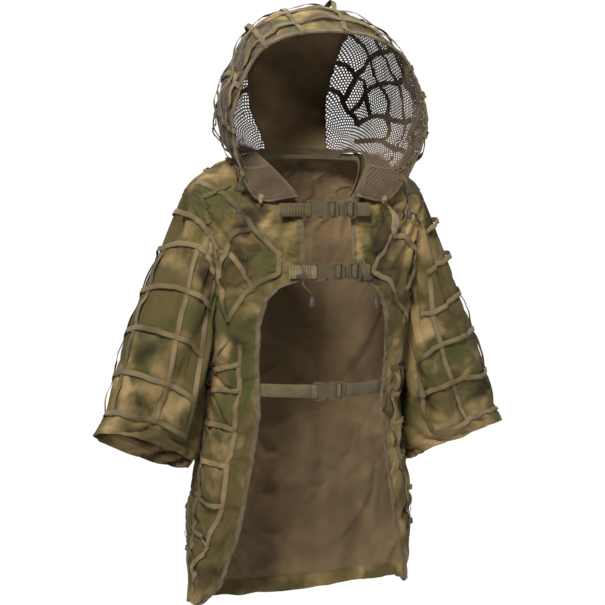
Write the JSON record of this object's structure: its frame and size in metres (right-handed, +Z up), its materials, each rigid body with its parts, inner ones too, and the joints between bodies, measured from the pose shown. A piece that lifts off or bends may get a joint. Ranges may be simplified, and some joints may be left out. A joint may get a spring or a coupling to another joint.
{
  "type": "ghillie suit",
  "caption": "Hooded ghillie cape, worn: open front with three buckled straps, wide elbow sleeves, net-sided hood and sewn foliage tapes.",
  "frame": {"origin": "middle of the wearer's neck base, at shoulder height", "axes": "+Z up, -Y the way the wearer faces, +X towards the wearer's left"},
  "size_m": [0.8366, 0.3571, 1.1711],
  "materials": {
    "camouflage_cloth": "matte ripstop cloth, blurred woodland blotches",
    "brown_net": "matte open knitted net",
    "foliage_tape": "matte woven tape",
    "edge_binding": "matte woven binding",
    "webbing": "matte woven webbing",
    "buckle_plastic": "satin moulded acetal",
    "cord_lock_plastic": "satin moulded",
    "elastic_cord": "braided cover",
    "cord_end_rubber": "matte moulded"
  },
  "bodies": {
    "root": {"back_hem": "camouflage_cloth", "back_panel": "camouflage_cloth", "back_tapes": "foliage_tape", "chest_buckle_clip": "buckle_plastic", "chest_left_cord": "elastic_cord", "chest_left_cord_end": "cord_end_rubber", "chest_right_cord": "elastic_cord", "chest_right_cord_end": "cord_end_rubber", "chest_strap_left": "webbing", "chest_strap_right": "webbing", "front_binding_left": "edge_binding", "front_binding_right": "edge_binding", "front_panel_left": "camouflage_cloth", "front_panel_right": "camouflage_cloth", "front_tapes_left": "foliage_tape", "front_tapes_right": "foliage_tape", "hood_center_panel": "camouflage_cloth", "hood_facing_left": "brown_net", "hood_facing_right": "brown_net", "hood_net_left": "brown_net", "hood_net_right": "brown_net", "hood_rim_binding": "edge_binding", "hood_tapes": "foliage_tape", "neck_buckle_clip": "buckle_plastic", "neck_left_cord": "elastic_cord", "neck_left_cord_end": "cord_end_rubber", "neck_right_cord": "elastic_cord", "neck_right_cord_end": "cord_end_rubber", "neck_seam_tape": "edge_binding", "neck_strap_left": "webbing", "neck_strap_right": "webbing", "sleeve_hem_left": "camouflage_cloth", "sleeve_hem_right": "camouflage_cloth", "sleeve_left": "camouflage_cloth", "sleeve_right": "camouflage_cloth", "sleeve_tapes_left": "foliage_tape", "sleeve_tapes_right": "foliage_tape", "waist_buckle_clip": "buckle_plastic", "waist_elastic": "webbing", "waist_webbing": "webbing"},
    "neck_female": {"neck_buckle_female": "buckle_plastic"},
    "neck_prong_upper": {"neck_buckle_prong_upper": "buckle_plastic"},
    "neck_prong_lower": {"neck_buckle_prong_lower": "buckle_plastic"},
    "chest_female": {"chest_buckle_female": "buckle_plastic"},
    "chest_prong_upper": {"chest_buckle_prong_upper": "buckle_plastic"},
    "chest_prong_lower": {"chest_buckle_prong_lower": "buckle_plastic"},
    "waist_female": {"waist_buckle_female": "buckle_plastic"},
    "waist_prong_upper": {"waist_buckle_prong_upper": "buckle_plastic"},
    "waist_prong_lower": {"waist_buckle_prong_lower": "buckle_plastic"},
    "neck_glide": {"neck_tri_glide": "buckle_plastic"},
    "chest_glide": {"chest_tri_glide": "buckle_plastic"},
    "neck_right_lock": {"neck_right_cord_lock": "cord_lock_plastic"},
    "neck_right_plunger": {"neck_right_cord_plunger": "cord_lock_plastic"},
    "neck_left_lock": {"neck_left_cord_lock": "cord_lock_plastic"},
    "neck_left_plunger": {"neck_left_cord_plunger": "cord_lock_plastic"},
    "chest_right_lock": {"chest_right_cord_lock": "cord_lock_plastic"},
    "chest_right_plunger": {"chest_right_cord_plunger": "cord_lock_plastic"},
    "chest_left_lock": {"chest_left_cord_lock": "cord_lock_plastic"},
    "chest_left_plunger": {"chest_left_cord_plunger": "cord_lock_plastic"}
  },
  "joints": [
    {"name": "neck_buckle_release", "type": "slide", "parent": "root", "child": "neck_female", "axis": [-1, 0, 0], "range_m": [0, 0.026], "deforming": ["neck_strap_right", "neck_buckle_prong_upper", "neck_buckle_prong_lower"]},
    {"name": "neck_squeeze_upper", "type": "hinge", "parent": "root", "child": "neck_prong_upper", "pos_m": [-0.0064, -0.118, -0.0232], "axis": [0, -1, 0], "range_deg": [0, 6], "stiffness_Nm_per_rad": 0.05},
    {"name": "neck_squeeze_lower", "type": "hinge", "parent": "root", "child": "neck_prong_lower", "pos_m": [-0.0064, -0.118, -0.0428], "axis": [0, 1, 0], "range_deg": [0, 6], "stiffness_Nm_per_rad": 0.05},
    {"name": "chest_buckle_release", "type": "slide", "parent": "root", "child": "chest_female", "axis": [-1, 0, 0], "range_m": [0, 0.026], "deforming": ["chest_strap_right", "chest_buckle_prong_upper", "chest_buckle_prong_lower"]},
    {"name": "chest_squeeze_upper", "type": "hinge", "parent": "root", "child": "chest_prong_upper", "pos_m": [0.0046, -0.122, -0.1392], "axis": [0, -1, 0], "range_deg": [0, 6], "stiffness_Nm_per_rad": 0.05},
    {"name": "chest_squeeze_lower", "type": "hinge", "parent": "root", "child": "chest_prong_lower", "pos_m": [0.0046, -0.122, -0.1588], "axis": [0, 1, 0], "range_deg": [0, 6], "stiffness_Nm_per_rad": 0.05},
    {"name": "waist_buckle_release", "type": "slide", "parent": "root", "child": "waist_female", "axis": [-1, 0, 0], "range_m": [0, 0.026], "deforming": ["waist_elastic", "waist_buckle_prong_upper", "waist_buckle_prong_lower"]},
    {"name": "waist_squeeze_upper", "type": "hinge", "parent": "root", "child": "waist_prong_upper", "pos_m": [0.0066, -0.12, -0.3632], "axis": [0, -1, 0], "range_deg": [0, 6], "stiffness_Nm_per_rad": 0.05},
    {"name": "waist_squeeze_lower", "type": "hinge", "parent": "root", "child": "waist_prong_lower", "pos_m": [0.0066, -0.12, -0.3828], "axis": [0, 1, 0], "range_deg": [0, 6], "stiffness_Nm_per_rad": 0.05},
    {"name": "neck_strap_adjust", "type": "slide", "parent": "root", "child": "neck_glide", "axis": [1, 0, 0], "range_m": [-0.006, 0.012], "deforming": ["neck_strap_left"]},
    {"name": "chest_strap_adjust", "type": "slide", "parent": "root", "child": "chest_glide", "axis": [1, 0, 0], "range_m": [-0.006, 0.012], "deforming": ["chest_strap_left"]},
    {"name": "neck_right_lock_slide", "type": "slide", "parent": "root", "child": "neck_right_lock", "axis": [0, 0, 1], "range_m": [-0.004, 0.004]},
    {"name": "neck_right_plunger_press", "type": "slide", "parent": "neck_right_lock", "child": "neck_right_plunger", "axis": [1, 0, 0], "range_m": [0, 0.002], "stiffness_N_per_m": 500},
    {"name": "neck_left_lock_slide", "type": "slide", "parent": "root", "child": "neck_left_lock", "axis": [0, 0, 1], "range_m": [-0.004, 0.004]},
    {"name": "neck_left_plunger_press", "type": "slide", "parent": "neck_left_lock", "child": "neck_left_plunger", "axis": [-1, 0, 0], "range_m": [0, 0.002], "stiffness_N_per_m": 500},
    {"name": "chest_right_lock_slide", "type": "slide", "parent": "root", "child": "chest_right_lock", "axis": [0, 0, 1], "range_m": [-0.004, 0.004]},
    {"name": "chest_right_plunger_press", "type": "slide", "parent": "chest_right_lock", "child": "chest_right_plunger", "axis": [1, 0, 0], "range_m": [0, 0.002], "stiffness_N_per_m": 500},
    {"name": "chest_left_lock_slide", "type": "slide", "parent": "root", "child": "chest_left_lock", "axis": [0, 0, 1], "range_m": [-0.004, 0.004]},
    {"name": "chest_left_plunger_press", "type": "slide", "parent": "chest_left_lock", "child": "chest_left_plunger", "axis": [-1, 0, 0], "range_m": [0, 0.002], "stiffness_N_per_m": 500}
  ],
  "couplings": [
    {"joint": "neck_squeeze_lower", "follows": "neck_squeeze_upper", "ratio": 1},
    {"joint": "chest_squeeze_lower", "follows": "chest_squeeze_upper", "ratio": 1},
    {"joint": "waist_squeeze_lower", "follows": "waist_squeeze_upper", "ratio": 1}
  ]
}
